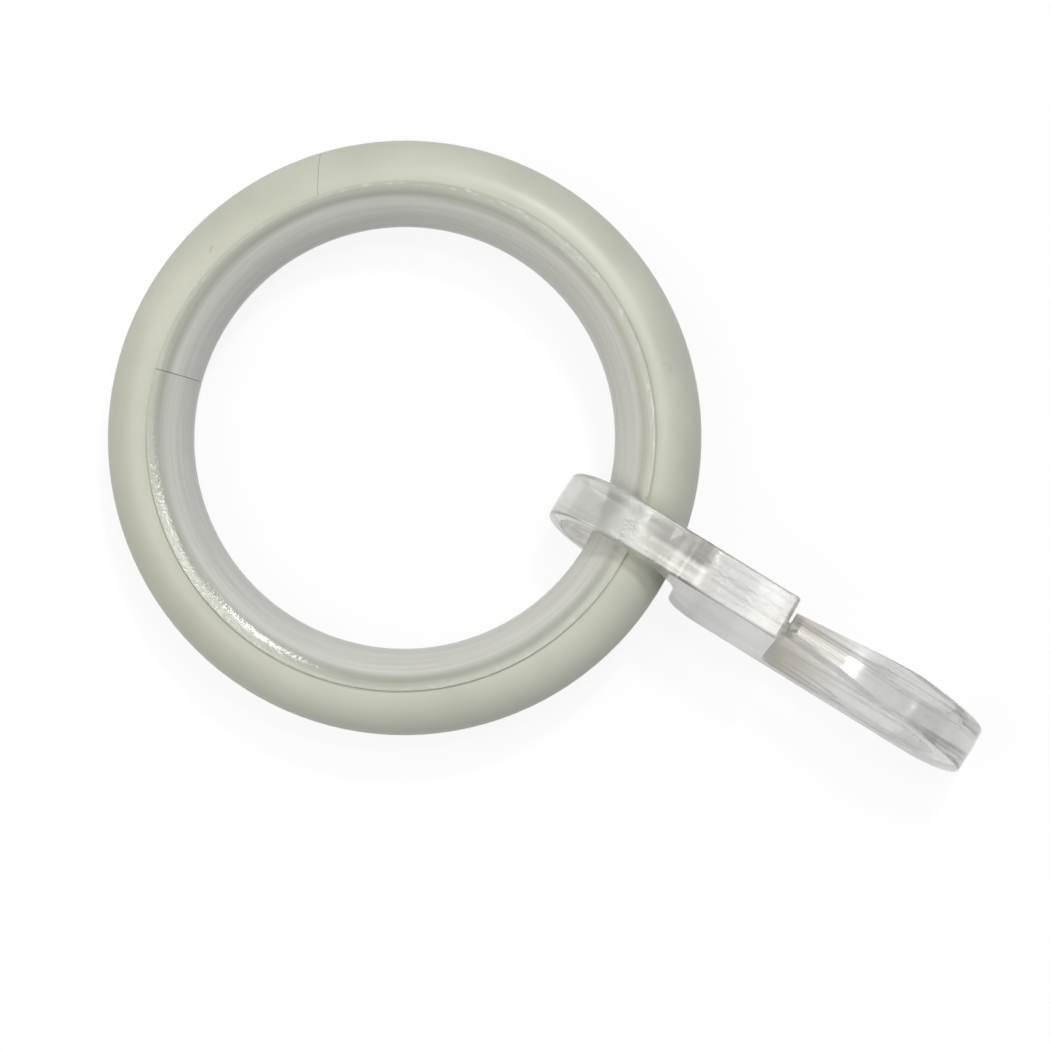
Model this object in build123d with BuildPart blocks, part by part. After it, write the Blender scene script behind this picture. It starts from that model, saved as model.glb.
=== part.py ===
"""Curtain ring: rolled and painted metal tube, clear glide liner pressed into its open inner side,
and a clear moulded pleat hook clipped on.

The ring lies flat. The origin is the centre of the ring's opening at half the tube's height, +Z is
the axis of the ring and +X runs along the hook, away from the ring.
Sizes are in millimetres, angles in degrees.
"""

import os
from math import acos, asin, atan2, cos, degrees, radians, sin, sqrt

from build123d import *

# Painted metal shell: a round tube, open along its inner side
RING_OUTER = 42.0          # outside diameter of the ring
TUBE = 6.0                 # diameter of the round tube
SHELL_WALL = 0.5           # thickness of the rolled strip
SHELL_EDGE = 1.0           # how far inside the tube's centre line the strip's two edges end
SHELL_JOINT_GAP = 0.02     # hairline where the strip's ends meet
SHELL_JOINT_ANGLE = 140.5  # place of that hairline round the ring
SHELL_JOINT_SKEW = -18.7   # turn of the hairline away from the radial direction

# Clear liner: closes the open side, laps over both edges of the strip and grips them from inside
LINER_CROWN = 0.1          # how far the liner stands out of the tube's round into the opening
LIP_EDGE = 0.2             # how far inside the tube's centre line the visible lips end
LIP_RISE = 0.25            # height of a lip's free edge above the tube
LINER_FLANGE = 0.55        # thickness of the hidden inner flanges
FLANGE_EDGE = 0.4          # how far inside the tube's centre line the hidden flanges end
LINER_FIT = 0.03           # clearance on each side of the strip's edge
LINER_JOINT_GAP = 0.04     # gap between the liner's two ends
LINER_JOINT_ANGLE = 196.3  # place of that gap round the ring

# Clear hook: C-shaped eye on the tube, solid body, long loop closed by a springy tongue
HOOK_LENGTH = 34.0
HOOK_WIDTH = 3.4           # width at the mould's parting plane
HOOK_DRAFT = 1.5           # mould draft away from the parting plane
HOOK_ROUND = 0.2           # rounding of the hook's side edges
EYE_CLEARANCE = 0.85       # free space round the tube inside the eye
EYE_PLAY = 1.35            # extra length of the eye's hole
EYE_WALL = 1.1             # thickness of the C
EYE_STEP = 0.6             # height of the eye's underside above the hook's back
BODY_CORNER = 2.7          # rounding of the body's corner at the eye's mouth
BODY_DROP = 0.03           # how far the body's top lies below the eye's top
BODY_BLEND = 8.0           # hollow radius between the eye's top and the body's top
BODY_END = 18.2            # distance of the body's end face from the eye's end
BODY_ROUND = 0.3           # rounding of the body's end at the top
BACK_LEG = 1.6             # thickness of the straight back leg
END_WALL = 2.3             # thickness of the loop's rounded end
END_BEND = 4.0             # outer radius of that end
LOOP_CORNER = 0.6          # rounding in the loop's inner corner
TONGUE = 1.4               # thickness of the tongue
TONGUE_FLAT = 22.9         # distance of the end of the tongue's level part from the eye's end
TONGUE_GAP = 0.2           # gap between the tongue's tip and the body's end
TIP_WIDTH_INSIDE = 1.9     # width of the tongue's tip on the loop's side
TIP_WIDTH_OUTSIDE = 1.15   # width of the tongue's tip on its outer face

# How the hook lies on the ring
HOOK_ANGLE = 7.6           # place of the hook round the ring, from +X
HOOK_LEAN = 11.3           # lean of the hook's top towards +Y

os.makedirs("parts", exist_ok=True)

tube_radius = TUBE / 2
pitch_radius = RING_OUTER / 2 - tube_radius
bore_radius = pitch_radius - tube_radius - LINER_CROWN
strip_inside = tube_radius - SHELL_WALL


def round_point(radius, angle):
    """Point of the tube's section at a radius and angle about the section's centre."""
    return (pitch_radius + radius * cos(radians(angle)), radius * sin(radians(angle)))


def section_angle(radius, inset):
    """Angle at which a circle about the section's centre lies that far inside the centre line."""
    return degrees(acos(-inset / radius))


# Painted shell: C-section turned round the ring's axis, then parted at its hairline joint
edge_angle = section_angle(tube_radius, SHELL_EDGE)
shell_joint_place = Location(
    (
        pitch_radius * cos(radians(SHELL_JOINT_ANGLE)),
        pitch_radius * sin(radians(SHELL_JOINT_ANGLE)),
        0,
    ),
    (0, 0, SHELL_JOINT_ANGLE + SHELL_JOINT_SKEW),
)
with BuildPart() as ring_shell:
    with BuildSketch(Plane.XZ):
        with BuildLine():
            ThreePointArc(
                round_point(tube_radius, -edge_angle),
                round_point(tube_radius, 0),
                round_point(tube_radius, edge_angle),
            )
            Line(round_point(tube_radius, edge_angle), round_point(strip_inside, edge_angle))
            ThreePointArc(
                round_point(strip_inside, edge_angle),
                round_point(strip_inside, 0),
                round_point(strip_inside, -edge_angle),
            )
            Line(round_point(strip_inside, -edge_angle), round_point(tube_radius, -edge_angle))
        make_face()
    revolve(axis=Axis.Z)
    with Locations(shell_joint_place):
        Box(1.4 * TUBE, SHELL_JOINT_GAP, 2 * TUBE, mode=Mode.SUBTRACT)

# Glide liner: one arc from lip to lip faces the rod, forks at both sides hold the strip's edges
lip_outside = tube_radius + LIP_RISE
lip_inside = tube_radius + LINER_FIT
flange_outside = strip_inside - LINER_FIT
flange_inside = flange_outside - LINER_FLANGE
lip_height = sqrt(lip_outside**2 - LIP_EDGE**2)
lip_radius = pitch_radius - LIP_EDGE
lip_angle = section_angle(lip_inside, LIP_EDGE)
flange_angle = section_angle(flange_outside, FLANGE_EDGE)
fork_angle = edge_angle + degrees(LINER_FIT / tube_radius)
liner_joint_place = Location(
    (
        pitch_radius * cos(radians(LINER_JOINT_ANGLE)),
        pitch_radius * sin(radians(LINER_JOINT_ANGLE)),
        0,
    ),
    (0, 0, LINER_JOINT_ANGLE),
)
with BuildPart() as glide_liner:
    with BuildSketch(Plane.XZ):
        with BuildLine():
            ThreePointArc((lip_radius, lip_height), (bore_radius, 0), (lip_radius, -lip_height))
            Line((lip_radius, -lip_height), round_point(lip_inside, -lip_angle))
            ThreePointArc(
                round_point(lip_inside, -lip_angle),
                round_point(lip_inside, -(lip_angle + fork_angle) / 2),
                round_point(lip_inside, -fork_angle),
            )
            Line(round_point(lip_inside, -fork_angle), round_point(flange_outside, -fork_angle))
            ThreePointArc(
                round_point(flange_outside, -fork_angle),
                round_point(flange_outside, -(flange_angle + fork_angle) / 2),
                round_point(flange_outside, -flange_angle),
            )
            Line(
                round_point(flange_outside, -flange_angle),
                round_point(flange_inside, -flange_angle),
            )
            ThreePointArc(
                round_point(flange_inside, -flange_angle),
                round_point(flange_inside, 180),
                round_point(flange_inside, flange_angle),
            )
            Line(
                round_point(flange_inside, flange_angle),
                round_point(flange_outside, flange_angle),
            )
            ThreePointArc(
                round_point(flange_outside, flange_angle),
                round_point(flange_outside, (flange_angle + fork_angle) / 2),
                round_point(flange_outside, fork_angle),
            )
            Line(round_point(flange_outside, fork_angle), round_point(lip_inside, fork_angle))
            ThreePointArc(
                round_point(lip_inside, fork_angle),
                round_point(lip_inside, (lip_angle + fork_angle) / 2),
                round_point(lip_inside, lip_angle),
            )
            Line(round_point(lip_inside, lip_angle), (lip_radius, lip_height))
        make_face()
    revolve(axis=Axis.Z)
    with Locations(liner_joint_place):
        Box(2 * TUBE, LINER_JOINT_GAP, 2 * TUBE, mode=Mode.SUBTRACT)

# Hook outline, along the hook from the eye's end and up from the back
hole_radius = tube_radius + EYE_CLEARANCE
eye_radius = hole_radius + EYE_WALL
hook_height = 2 * eye_radius + EYE_STEP
eye_height = hook_height - eye_radius
eye_start = eye_radius
eye_pivot = eye_start + EYE_PLAY
body_face = eye_pivot + hole_radius
body_top = hook_height - BODY_DROP
blend_reach = eye_radius + BODY_BLEND
blend_run = sqrt(blend_reach**2 - (blend_reach - BODY_DROP) ** 2)
blend_turn = asin(blend_run / blend_reach)
blend_point = (
    eye_start + eye_radius * sin(blend_turn), eye_height + eye_radius * cos(blend_turn)
)

# The tongue is level with the body, then arches down and runs into the outer end bend
arch_run = HOOK_LENGTH - END_BEND - TONGUE_FLAT
arch_rise = body_top - END_BEND
arch_radius = (arch_run**2 + arch_rise**2 - END_BEND**2) / (2 * (arch_rise - END_BEND))
arch_height = body_top - arch_radius
bend_place = HOOK_LENGTH - END_BEND
bend_turn = atan2(arch_run, END_BEND - arch_height)
tip_place = BODY_END + TONGUE_GAP
tip_radius = TONGUE / 2

# The inner bend touches the back leg, the end wall and the inside of the arch
end_inside = HOOK_LENGTH - END_WALL
loop_run = end_inside - TONGUE_FLAT
loop_rise = BACK_LEG - arch_height
loop_arch = arch_radius - TONGUE
loop_half = loop_rise - loop_run + loop_arch
loop_radius = sqrt(loop_half**2 + loop_arch**2 - loop_run**2 - loop_rise**2) - loop_half
loop_place = end_inside - loop_radius
loop_height = BACK_LEG + loop_radius
loop_turn = atan2(loop_place - TONGUE_FLAT, loop_height - arch_height)


def arch_point(turn, depth):
    """Point of the arch at a turn from the end of the level part and a depth below its outer face."""
    radius = arch_radius - depth
    return (TONGUE_FLAT + radius * sin(turn), arch_height + radius * cos(turn))


# The hook is built along its own x, with its own y up, and then laid on the ring
hook_side = Plane.XY


def cutter_plane(place):
    """Plane across the hook at a place along it, its origin at the body's top, its local y up."""
    return Plane(origin=(place, body_top, 0), x_dir=(0, 0, 1), z_dir=(-1, 0, 0))


# Cutter that narrows one side of the tongue from its root to its tip, more on the outer face
side_lean = (TIP_WIDTH_INSIDE - TIP_WIDTH_OUTSIDE) / 2 / TONGUE
cut_depth = 3 * TONGUE
cut_width = HOOK_WIDTH + cut_depth
with BuildPart() as tongue_cutter:
    with BuildSketch(cutter_plane(loop_place)):
        with BuildLine():
            Polyline(
                (HOOK_WIDTH / 2, -cut_depth),
                (cut_width, -cut_depth),
                (cut_width, TONGUE_GAP),
                (HOOK_WIDTH / 2, TONGUE_GAP),
                close=True,
            )
        make_face()
    with BuildSketch(cutter_plane(tip_place - TONGUE_GAP / 2)):
        with BuildLine():
            Polyline(
                (TIP_WIDTH_OUTSIDE / 2 + cut_depth * side_lean, -cut_depth),
                (cut_width, -cut_depth),
                (cut_width, TONGUE_GAP),
                (TIP_WIDTH_OUTSIDE / 2 - TONGUE_GAP * side_lean, TONGUE_GAP),
                close=True,
            )
        make_face()
    loft(ruled=True)

with BuildPart() as hook_half:
    with BuildSketch(hook_side):
        with BuildLine():
            Line((body_face + BODY_CORNER, 0), (bend_place, 0))
            ThreePointArc((bend_place, 0), (HOOK_LENGTH, END_BEND), arch_point(bend_turn, 0))
            ThreePointArc(
                arch_point(bend_turn, 0), arch_point(bend_turn / 2, 0), arch_point(0, 0)
            )
            Line(arch_point(0, 0), (tip_place + tip_radius, body_top))
            ThreePointArc(
                (tip_place + tip_radius, body_top),
                (tip_place, body_top - tip_radius),
                (tip_place + tip_radius, body_top - TONGUE),
            )
            Line((tip_place + tip_radius, body_top - TONGUE), arch_point(0, TONGUE))
            ThreePointArc(
                arch_point(0, TONGUE), arch_point(loop_turn / 2, TONGUE), arch_point(loop_turn, TONGUE)
            )
            ThreePointArc(
                arch_point(loop_turn, TONGUE), (end_inside, loop_height), (loop_place, BACK_LEG)
            )
            Line((loop_place, BACK_LEG), (BODY_END + LOOP_CORNER, BACK_LEG))
            RadiusArc(
                (BODY_END + LOOP_CORNER, BACK_LEG),
                (BODY_END, BACK_LEG + LOOP_CORNER),
                LOOP_CORNER,
            )
            Line((BODY_END, BACK_LEG + LOOP_CORNER), (BODY_END, body_top - BODY_ROUND))
            RadiusArc(
                (BODY_END, body_top - BODY_ROUND), (BODY_END - BODY_ROUND, body_top), -BODY_ROUND
            )
            Line((BODY_END - BODY_ROUND, body_top), (eye_start + blend_run, body_top))
            TangentArc((eye_start + blend_run, body_top), blend_point, tangent=(-1, 0))
            ThreePointArc(blend_point, (0, eye_height), (eye_start, eye_height - eye_radius))
            ThreePointArc(
                (eye_start, eye_height - eye_radius),
                (eye_start + EYE_WALL / 2, eye_height - hole_radius - EYE_WALL / 2),
                (eye_start, eye_height - hole_radius),
            )
            ThreePointArc(
                (eye_start, eye_height - hole_radius),
                (eye_start - hole_radius, eye_height),
                (eye_start, eye_height + hole_radius),
            )
            Line((eye_start, eye_height + hole_radius), (eye_pivot, eye_height + hole_radius))
            RadiusArc(
                (eye_pivot, eye_height + hole_radius), (body_face, eye_height), hole_radius
            )
            Line((body_face, eye_height), (body_face, BODY_CORNER))
            RadiusArc((body_face, BODY_CORNER), (body_face + BODY_CORNER, 0), -BODY_CORNER)
        make_face()
    extrude(amount=HOOK_WIDTH / 2)
    ends = hook_half.faces().sort_by(Axis.Z)
    draft(hook_half.faces() - [ends[0], ends[-1]], neutral_plane=hook_side, angle=HOOK_DRAFT)
    fillet(hook_half.faces().sort_by(Axis.Z)[-1].edges(), HOOK_ROUND)
    add(tongue_cutter.part, mode=Mode.SUBTRACT)

with BuildPart() as hook_moulding:
    add(hook_half.part)
    mirror(hook_half.part, about=hook_side)

# The hook on the ring: the eye's pivot on the tube's centre line, the body leaning sideways
pivot_point = Vector(
    pitch_radius * cos(radians(HOOK_ANGLE)), pitch_radius * sin(radians(HOOK_ANGLE)), 0
)
hook_place = Location(pivot_point, (90 - HOOK_LEAN, 0, 0)) * Location((-eye_pivot, -eye_height, 0))
with BuildPart() as pleat_hook:
    with Locations(hook_place):
        add(hook_moulding.part)

ring_shell.part.label = "ring_shell"
glide_liner.part.label = "glide_liner"
pleat_hook.part.label = "pleat_hook"
export_step(ring_shell.part, "parts/ring_shell.step")
export_step(glide_liner.part, "parts/glide_liner.step")
export_step(pleat_hook.part, "parts/pleat_hook.step")
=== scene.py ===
"""Looks of the curtain ring: painted ring, milky liner and clear hook, lying on a pale floor."""

from math import cos, pi, radians, sin, tan

import bpy
from mathutils import Matrix, Vector

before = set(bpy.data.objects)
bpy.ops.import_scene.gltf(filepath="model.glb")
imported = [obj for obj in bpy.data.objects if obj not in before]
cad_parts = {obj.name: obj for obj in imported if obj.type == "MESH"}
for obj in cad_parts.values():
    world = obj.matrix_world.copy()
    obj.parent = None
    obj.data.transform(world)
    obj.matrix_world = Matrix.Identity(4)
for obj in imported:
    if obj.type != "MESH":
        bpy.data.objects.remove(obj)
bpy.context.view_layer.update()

MM = 0.001

# Sizes repeated from the part; both edges are distances from the ring's axis
PITCH = 18.0 * MM
STRIP_MIDDLE = 2.75 * MM
STRIP_EDGE = 17.0 * MM
LIP_EDGE = 17.8 * MM
LINER_JOINT = radians(196.3)
HOOK_START = 11.54 * MM
HOOK_LENGTH = 34.0 * MM

# Wear, and painted light: the side where the lip's edge is whitened most, as a painted highlight,
# and the place and reach in millimetres and the strength of each rubbed mark
LIP_GLINT_SIDE = (0.23, 0.97, 0.0)
RUBBED_MARKS = (((-18.25, 4.2, 2.9), 0.4, 0.6), ((13.4, 14.05, 2.65), 0.5, 0.35))

# The floor touches the ring's far side here and slopes down to the hook's back
FLOOR_TOUCH = Vector((-17.8, 0, -3.26)) * MM
FLOOR_TILT = radians(3.33)
FLOOR_SIDE = 4.0
# The floor film's own glow, and the share of the eye's rays that it lets through
FILM_GLOW = 0.68
FILM_OPENNESS = 0.65

# The photo's turn, middle and width, and where its camera stands
PICTURE_TURN = radians(31.7)
PICTURE_MIDDLE = Vector((10.54, -0.76, 0)) * MM
PICTURE_WIDTH = 73.98 * MM
CAMERA_STAND = Vector((23.7, 1.2, 250)) * MM
SENSOR_WIDTH = 36

# Each lamp's direction from the ring, side in metres, power in watts and colour
LAMP_DISTANCE = 1.0
LAMPS = {
    "key": ((0.18, 0.345, 0.92), 0.08, 1.0, "#FFFDF8"),
    "spark": ((0.034, 0.3, 0.953), 0.02, 0.7, "#FFFDF8"),
    "second": ((-0.05, 0.552, 0.83), 0.1, 3.0, "#FFFFFF"),
    "low": ((-0.203, -0.47, 0.857), 0.15, 0.5, "#FFFDF8"),
    "soft": ((-0.5, -0.25, 0.82), 0.7, 3.0, "#FFF8EC"),
}

# Extruded and moulded lines run this many times longer than they are wide
LINE_STRETCH = 40
# Most of a noise lies between these
NOISE_LOW, NOISE_HIGH = 0.3, 0.7
# Colour sockets of a Mix node, which share their names with its other sockets
MIX_FACTOR, MIX_A, MIX_B, MIX_RESULT = 0, 6, 7, 2


def srgb(code):
    """Linear colour of an sRGB hex code."""
    parts = [int(code[i:i + 2], 16) / 255 for i in (1, 3, 5)]
    return [p / 12.92 if p <= 0.04045 else ((p + 0.055) / 1.055) ** 2.4 for p in parts] + [1.0]


def add(tree, kind, values=None, links=None, stops=(), **settings):
    """Adds a node: its own settings, its sockets' values, what feeds them and a ramp's stops."""
    node = tree.nodes.new(kind)
    for name, value in settings.items():
        setattr(node, name, value)
    for socket, value in (values or {}).items():
        node.inputs[socket].default_value = value
    for socket, source in (links or {}).items():
        tree.links.new(source, node.inputs[socket])
    for spot, shade in stops:
        node.color_ramp.elements.new(spot).color = srgb(shade)
    if stops:
        # A new ramp's own two stops lie outside all others
        node.color_ramp.elements.remove(node.color_ramp.elements[0])
        node.color_ramp.elements.remove(node.color_ramp.elements[-1])
    return node


def new_material(name):
    """An empty node material, its tree and its output."""
    material = bpy.data.materials.new(name)
    material.use_nodes = True
    tree = material.node_tree
    tree.nodes.clear()
    return material, tree, tree.nodes.new("ShaderNodeOutputMaterial")


def per(size_mm):
    """Scale of a pattern whose features are about that many millimetres apart."""
    return 1 / (size_mm * MM)


# Satin stoving paint, sprayed on rolled steel strip: even cream grey with faint orange peel; the
# strip's inside, seen only through the liner, is bare zinc-grey steel
paint, tree, out = new_material("satin_stoving_paint")
place = add(tree, "ShaderNodeTexCoord").outputs["Object"]
split = add(tree, "ShaderNodeSeparateXYZ", links={0: place})
flat = add(
    tree, "ShaderNodeCombineXYZ", links={"X": split.outputs["X"], "Y": split.outputs["Y"]}
)
reach = add(tree, "ShaderNodeVectorMath", links={0: flat.outputs[0]}, operation="LENGTH")
off = add(tree, "ShaderNodeMath", {1: PITCH}, {0: reach.outputs["Value"]}, operation="SUBTRACT")
section = add(
    tree, "ShaderNodeCombineXYZ", links={"X": off.outputs[0], "Y": split.outputs["Z"]}
)
depth = add(tree, "ShaderNodeVectorMath", links={0: section.outputs[0]}, operation="LENGTH")
bare = add(
    tree, "ShaderNodeMapRange",
    {
        "From Min": STRIP_MIDDLE - 0.06 * MM, "From Max": STRIP_MIDDLE,
        "To Min": 1.0, "To Max": 0.0,
    },
    {"Value": depth.outputs["Value"]},
)
cloud = add(tree, "ShaderNodeTexNoise", {"Scale": per(7.0), "Detail": 3.0}, {"Vector": place})
tone = add(
    tree, "ShaderNodeValToRGB", links={0: cloud.outputs["Fac"]},
    stops=((0.35, "#C4C6B7"), (0.65, "#CCCEBF")),
)
colour = add(
    tree, "ShaderNodeMix", {MIX_B: srgb("#B4B4AC")},
    {MIX_FACTOR: bare.outputs[0], MIX_A: tone.outputs[0]}, data_type="RGBA",
)
# Two small rubbed marks with ragged outlines, at the places where the photo shows them
rag = add(
    tree, "ShaderNodeTexNoise", {"Scale": per(0.35), "Detail": 2.0}, {"Vector": place},
    normalize=False,
)
pushed = add(
    tree, "ShaderNodeVectorMath", {"Scale": 0.5 * MM}, {0: rag.outputs["Color"]},
    operation="SCALE",
)
ragged = add(
    tree, "ShaderNodeVectorMath", links={0: place, 1: pushed.outputs[0]}, operation="ADD"
)
for mark, size, strength in RUBBED_MARKS:
    off_mark = add(
        tree, "ShaderNodeVectorMath", {1: [part * MM for part in mark]}, {0: ragged.outputs[0]},
        operation="DISTANCE",
    )
    rubbed = add(
        tree, "ShaderNodeMapRange", {"From Max": size * MM, "To Min": strength, "To Max": 0.0},
        {"Value": off_mark.outputs["Value"]},
    )
    colour = add(
        tree, "ShaderNodeMix", {MIX_B: srgb("#9C9E96")},
        {MIX_FACTOR: rubbed.outputs[0], MIX_A: colour.outputs[MIX_RESULT]}, data_type="RGBA",
    )
peel = add(tree, "ShaderNodeTexNoise", {"Scale": per(0.7), "Detail": 2.0}, {"Vector": place})
rough = add(
    tree, "ShaderNodeMapRange",
    {"From Min": NOISE_LOW, "From Max": NOISE_HIGH, "To Min": 0.34, "To Max": 0.42},
    {"Value": cloud.outputs["Fac"]},
)
bump = add(
    tree, "ShaderNodeBump", {"Strength": 0.5, "Distance": 0.02 * MM},
    {"Height": peel.outputs["Fac"]},
)
shader = add(
    tree, "ShaderNodeBsdfPrincipled", {"IOR": 1.5},
    {
        "Base Color": colour.outputs[MIX_RESULT], "Metallic": bare.outputs[0],
        "Roughness": rough.outputs[0], "Normal": bump.outputs[0],
    },
)
tree.links.new(shader.outputs[0], out.inputs["Surface"])

# Extruded plastic of the liner, milky, with soft gloss and fine lines along the extrusion; a darker
# line of painted shade stands for the strip's shaded edge under it, and the lip beyond it is
# painted with the strip's cream tint as seen through it
liner_plastic, tree, out = new_material("extruded_milky_plastic")
place = add(tree, "ShaderNodeTexCoord").outputs["Object"]
turned = add(
    tree, "ShaderNodeVectorRotate", {"Angle": pi - LINER_JOINT}, {"Vector": place},
    rotation_type="Z_AXIS",
)
split = add(tree, "ShaderNodeSeparateXYZ", links={0: turned.outputs[0]})
flat = add(
    tree, "ShaderNodeCombineXYZ", links={"X": split.outputs["X"], "Y": split.outputs["Y"]}
)
reach = add(tree, "ShaderNodeVectorMath", links={0: flat.outputs[0]}, operation="LENGTH")
round_turn = add(
    tree, "ShaderNodeMath", links={0: split.outputs["Y"], 1: split.outputs["X"]},
    operation="ARCTAN2",
)
drawn = add(
    tree, "ShaderNodeMath", {1: PITCH / LINE_STRETCH}, {0: round_turn.outputs[0]},
    operation="MULTIPLY",
)
course = add(
    tree, "ShaderNodeCombineXYZ",
    links={"X": reach.outputs["Value"], "Y": split.outputs["Z"], "Z": drawn.outputs[0]},
)
lines = add(
    tree, "ShaderNodeTexNoise", {"Scale": per(0.3), "Detail": 3.0}, {"Vector": course.outputs[0]}
)
tone = add(
    tree, "ShaderNodeValToRGB", links={0: lines.outputs["Fac"]},
    stops=((NOISE_LOW, "#E4E4DD"), (NOISE_HIGH, "#F2F3EC")),
)
across_lip = add(
    tree, "ShaderNodeMapRange", {"From Min": STRIP_EDGE - 0.6 * MM, "From Max": LIP_EDGE},
    {"Value": reach.outputs["Value"]},
)
# Painted shade: a darker band in the liner's colour where the strip's shaded edge lies under it
painted_edge_shade_band = add(
    tree, "ShaderNodeValToRGB", links={0: across_lip.outputs[0]},
    stops=((0.08, "#FFFFFF"), (0.4, "#D6D7D0"), (0.55, "#D9DAD3"), (0.85, "#F0F2EA")),
)
tone_with_painted_shade = add(
    tree, "ShaderNodeMix", {MIX_FACTOR: 1.0}, {MIX_A: tone.outputs[0], MIX_B: painted_edge_shade_band.outputs[0]},
    data_type="RGBA", blend_type="MULTIPLY",
)
# The lip's cut edge is whitened in dashes four times longer than they are wide: all round as
# fraying, and more strongly on one side as a painted highlight where the edge catches the light
dash_turn = add(
    tree, "ShaderNodeMath", {1: PITCH / 4}, {0: round_turn.outputs[0]}, operation="MULTIPLY"
)
dash_course = add(
    tree, "ShaderNodeCombineXYZ", links={"X": reach.outputs["Value"], "Y": dash_turn.outputs[0]}
)
dash_noise = add(
    tree, "ShaderNodeTexNoise", {"Scale": per(0.2), "Detail": 4.0},
    {"Vector": dash_course.outputs[0]},
)
# Painted highlight: the whitening grows toward the side where the lip's edge catches the light
glint_facing = add(
    tree, "ShaderNodeVectorMath", {1: LIP_GLINT_SIDE}, {0: place}, operation="DOT_PRODUCT"
)
fray_and_glint_strength = add(
    tree, "ShaderNodeMapRange",
    {"From Min": 0.3 * PITCH, "From Max": 0.8 * PITCH, "To Min": 0.35, "To Max": 0.75},
    {"Value": glint_facing.outputs["Value"]},
)
fray_and_glint = add(
    tree, "ShaderNodeMapRange", {"From Min": 0.52, "From Max": 0.68},
    {"Value": dash_noise.outputs["Fac"], "To Max": fray_and_glint_strength.outputs[0]},
)
rim = add(
    tree, "ShaderNodeMapRange", {"From Min": LIP_EDGE - 0.4 * MM, "From Max": LIP_EDGE - 0.2 * MM},
    {"Value": reach.outputs["Value"]},
)
fray_and_glint_on_rim = add(
    tree, "ShaderNodeMath", links={0: fray_and_glint.outputs[0], 1: rim.outputs[0]}, operation="MULTIPLY"
)
colour = add(
    tree, "ShaderNodeMix", {MIX_B: srgb("#FFFFFF")},
    {MIX_FACTOR: fray_and_glint_on_rim.outputs[0], MIX_A: tone_with_painted_shade.outputs[MIX_RESULT]}, data_type="RGBA",
)
rough = add(
    tree, "ShaderNodeMapRange",
    {"From Min": NOISE_LOW, "From Max": NOISE_HIGH, "To Min": 0.14, "To Max": 0.24},
    {"Value": lines.outputs["Fac"]},
)
drawn_bump = add(
    tree, "ShaderNodeBump", {"Strength": 0.4, "Distance": 0.02 * MM},
    {"Height": lines.outputs["Fac"]},
)
# Frosted grain, drawn about three times coarser than the real one so that it shows
frost = add(tree, "ShaderNodeTexNoise", {"Scale": per(0.22), "Detail": 2.0}, {"Vector": place})
bump = add(
    tree, "ShaderNodeBump", {"Strength": 0.8, "Distance": 0.02 * MM},
    {"Height": frost.outputs["Fac"], "Normal": drawn_bump.outputs[0]},
)
shader = add(
    tree, "ShaderNodeBsdfPrincipled", {"IOR": 1.49, "Transmission Weight": 0.28},
    {
        "Base Color": colour.outputs[MIX_RESULT], "Roughness": rough.outputs[0],
        "Normal": bump.outputs[0],
    },
)
tree.links.new(shader.outputs[0], out.inputs["Surface"])

# Injection-moulded polycarbonate of the hook: hazy inside under glossy, slightly wavy faces,
# faintly brown where the body is thick, with painted shade in the loop's opening below the tongue's
# tip, and with frosted patches on the eye and the body
hook_plastic, tree, out = new_material("moulded_hazy_polycarbonate")
place = add(tree, "ShaderNodeTexCoord").outputs["Object"]
split = add(tree, "ShaderNodeSeparateXYZ", links={0: place})
# Tint and patches lie along the hook, from the eye's end at 0 to the loop's end at 1
along = add(
    tree, "ShaderNodeMapRange", {"From Min": HOOK_START, "From Max": HOOK_START + HOOK_LENGTH},
    {"Value": split.outputs["X"]},
)
tint = add(
    tree, "ShaderNodeValToRGB", links={0: along.outputs[0]},
    stops=(
        (0.2, "#F6F6F2"), (0.25, "#D6D3CB"), (0.34, "#D2CFC7"), (0.38, "#E6E6E4"),
        # The darker stops at 0.56 and 0.61 are painted shade in the loop's opening below the
        # tongue's tip
        (0.5, "#EEEEEC"), (0.56, "#CCC8BF"), (0.61, "#D8D5CE"), (0.7, "#F2F2F1"),
        (0.95, "#F0F0ED"),
    ),
)
patch = add(
    tree, "ShaderNodeValToRGB", links={0: along.outputs[0]},
    stops=(
        (0.1, "#000000"), (0.12, "#FFFFFF"), (0.17, "#FFFFFF"), (0.19, "#000000"),
        (0.335, "#000000"), (0.36, "#FFFFFF"), (0.44, "#FFFFFF"), (0.46, "#BCBCBC"),
        (0.52, "#BCBCBC"), (0.54, "#000000"),
    ),
)
# Sink marks in the haze, and frost specks drawn about three times coarser so that they show
sink = add(tree, "ShaderNodeTexNoise", {"Scale": per(3.0), "Detail": 2.0}, {"Vector": place})
speck = add(tree, "ShaderNodeTexNoise", {"Scale": per(0.2), "Detail": 3.0}, {"Vector": place})
haze = add(
    tree, "ShaderNodeMapRange",
    {"From Min": NOISE_LOW, "From Max": NOISE_HIGH, "To Min": 0.68, "To Max": 0.78},
    {"Value": sink.outputs["Fac"]},
)
rough = add(
    tree, "ShaderNodeMapRange", {"To Min": 0.12, "To Max": 0.26}, {"Value": patch.outputs[0]}
)
# Flow lines follow the hook's outline
drawn = add(
    tree, "ShaderNodeVectorMath", {1: (1 / LINE_STRETCH, 1, 1 / LINE_STRETCH)}, {0: place},
    operation="MULTIPLY",
)
flow = add(
    tree, "ShaderNodeTexNoise", {"Scale": per(0.45), "Detail": 2.0}, {"Vector": drawn.outputs[0]}
)
streak = add(
    tree, "ShaderNodeValToRGB", links={0: flow.outputs["Fac"]},
    stops=((0.34, "#E4E3E0"), (0.46, "#FFFFFF")),
)
colour = add(
    tree, "ShaderNodeMix", {MIX_FACTOR: 1.0}, {MIX_A: tint.outputs[0], MIX_B: streak.outputs[0]},
    data_type="RGBA", blend_type="MULTIPLY",
)
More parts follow.
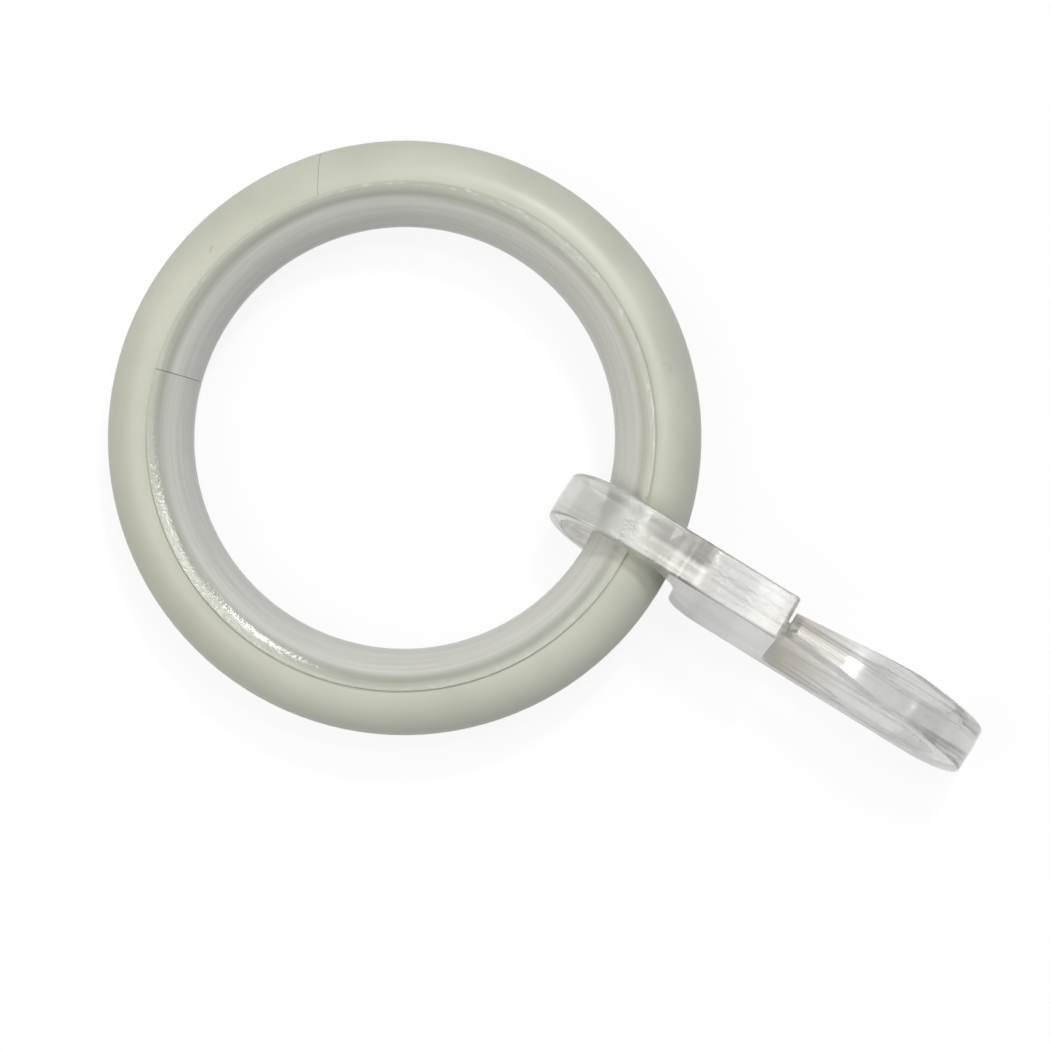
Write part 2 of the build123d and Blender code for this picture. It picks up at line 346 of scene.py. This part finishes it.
# Fine darker draw marks along the loop's faces
loop_part = add(
    tree, "ShaderNodeMapRange", {"From Min": 0.54, "From Max": 0.6}, {"Value": along.outputs[0]}
)
mark = add(
    tree, "ShaderNodeTexNoise", {"Scale": per(0.7), "Detail": 1.0}, {"Vector": drawn.outputs[0]}
)
line = add(
    tree, "ShaderNodeValToRGB", links={0: mark.outputs["Fac"]},
    stops=((0.48, "#FFFFFF"), (0.505, "#CCCAC7"), (0.53, "#FFFFFF")),
)
colour = add(
    tree, "ShaderNodeMix",
    links={
        MIX_FACTOR: loop_part.outputs[0], MIX_A: colour.outputs[MIX_RESULT],
        MIX_B: line.outputs[0],
    },
    data_type="RGBA", blend_type="MULTIPLY",
)
wavy = add(
    tree, "ShaderNodeBump", {"Strength": 0.4, "Distance": 0.012 * MM},
    {"Height": flow.outputs["Fac"]},
)
bump = add(
    tree, "ShaderNodeBump", {"Distance": 0.05 * MM},
    {"Strength": patch.outputs[0], "Height": speck.outputs["Fac"], "Normal": wavy.outputs[0]},
)
shader = add(
    tree, "ShaderNodeBsdfPrincipled",
    {
        "IOR": 1.5, "Specular IOR Level": 0.25, "Coat Weight": 0.7, "Coat Roughness": 0.2,
        "Coat IOR": 1.5,
    },
    {
        "Base Color": colour.outputs[MIX_RESULT], "Transmission Weight": haze.outputs[0],
        "Roughness": rough.outputs[0], "Normal": bump.outputs[0], "Coat Normal": bump.outputs[0],
    },
)
tree.links.new(shader.outputs[0], out.inputs["Surface"])

for node, finish in (
    ("ring_shell", paint), ("glide_liner", liner_plastic), ("pleat_hook", hook_plastic)
):
    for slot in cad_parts[node].material_slots:
        slot.material = finish

# Pale floor under the ring's far side and the hook's back: a thin film, white to the eye, that
# takes a soft shadow and lets the eye and the lamps through to a hook that swings below it
bpy.ops.object.select_all(action="DESELECT")
bpy.ops.mesh.primitive_plane_add(size=FLOOR_SIDE)
floor = bpy.context.object
floor.name = "floor"
for vertex in floor.data.vertices:
    vertex.co.z = FLOOR_TOUCH.z - tan(FLOOR_TILT) * (vertex.co.x - FLOOR_TOUCH.x)
floor_film, tree, out = new_material("thin_white_film")
place = add(tree, "ShaderNodeTexCoord").outputs["Object"]
ray = add(tree, "ShaderNodeLightPath")
seen = add(
    tree, "ShaderNodeMath",
    links={0: ray.outputs["Is Camera Ray"], 1: ray.outputs["Is Glossy Ray"]}, operation="MAXIMUM",
)
seen = add(
    tree, "ShaderNodeMath", links={0: seen.outputs[0], 1: ray.outputs["Is Transmission Ray"]},
    operation="MAXIMUM",
)
grain = add(tree, "ShaderNodeTexNoise", {"Scale": per(1.5)}, {"Vector": place})
tint = add(
    tree, "ShaderNodeMapRange", {"To Min": 0.33, "To Max": 0.36}, {"Value": grain.outputs["Fac"]}
)
paper = add(tree, "ShaderNodeBsdfDiffuse", links={"Color": tint.outputs[0]})
glow = add(tree, "ShaderNodeMath", {1: FILM_GLOW}, {0: seen.outputs[0]}, operation="MULTIPLY")
light = add(tree, "ShaderNodeEmission", links={"Strength": glow.outputs[0]})
both = add(tree, "ShaderNodeAddShader", links={0: paper.outputs[0], 1: light.outputs[0]})
open_way = add(
    tree, "ShaderNodeMath", {1: FILM_OPENNESS},
    {0: ray.outputs["Is Camera Ray"], 2: ray.outputs["Is Shadow Ray"]}, operation="MULTIPLY_ADD",
)
clear = add(tree, "ShaderNodeBsdfTransparent")
film = add(
    tree, "ShaderNodeMixShader",
    links={0: open_way.outputs[0], 1: both.outputs[0], 2: clear.outputs[0]},
)
tree.links.new(film.outputs[0], out.inputs["Surface"])
floor.data.materials.append(floor_film)

# Soft studio light: a pale sky all round, which the camera sees as white, and lamps high above that
# put the photo's highlights on the hook's tongue and body (key), the eye's top (spark) and the lip
# at the picture's lower left (second) and upper right (low), with a broad lamp for the rest (soft)
world = bpy.data.worlds.new("studio")
bpy.context.scene.world = world
world.use_nodes = True
tree = world.node_tree
tree.nodes.clear()
sky = add(tree, "ShaderNodeBackground", {"Color": srgb("#F4F8FF"), "Strength": 0.34})
white = add(tree, "ShaderNodeBackground", {"Color": srgb("#FFFFFF"), "Strength": 1.0})
ray = add(tree, "ShaderNodeLightPath")
shown = add(
    tree, "ShaderNodeMixShader",
    links={0: ray.outputs["Is Camera Ray"], 1: sky.outputs[0], 2: white.outputs[0]},
)
tree.links.new(shown.outputs[0], add(tree, "ShaderNodeOutputWorld").inputs["Surface"])
for name, (direction, lamp_side, power, shade) in LAMPS.items():
    lamp = bpy.data.lights.new(name, "AREA")
    lamp.size = lamp_side
    lamp.energy = power
    lamp.color = srgb(shade)[:3]
    holder = bpy.data.objects.new(name, lamp)
    bpy.context.scene.collection.objects.link(holder)
    holder.location = Vector(direction).normalized() * LAMP_DISTANCE
    holder.rotation_euler = (-Vector(direction)).to_track_quat("-Z", "Y").to_euler()

# Camera close above the hook, looking at the middle of the picture, turned as in the photo
picture_up = Vector((-sin(PICTURE_TURN), cos(PICTURE_TURN), 0))
view = PICTURE_MIDDLE - CAMERA_STAND
look = view.normalized()
across = look.cross(picture_up).normalized()
camera_data = bpy.data.cameras.new("camera")
camera_data.sensor_width = SENSOR_WIDTH
camera_data.lens = SENSOR_WIDTH * view.length / PICTURE_WIDTH
camera_data.clip_start = 0.01
camera = bpy.data.objects.new("camera", camera_data)
bpy.context.scene.collection.objects.link(camera)
camera.matrix_world = Matrix((across, across.cross(look), -look)).transposed().to_4x4()
camera.location = CAMERA_STAND
bpy.context.scene.camera = camera

bpy.context.scene.view_settings.view_transform = "Standard"
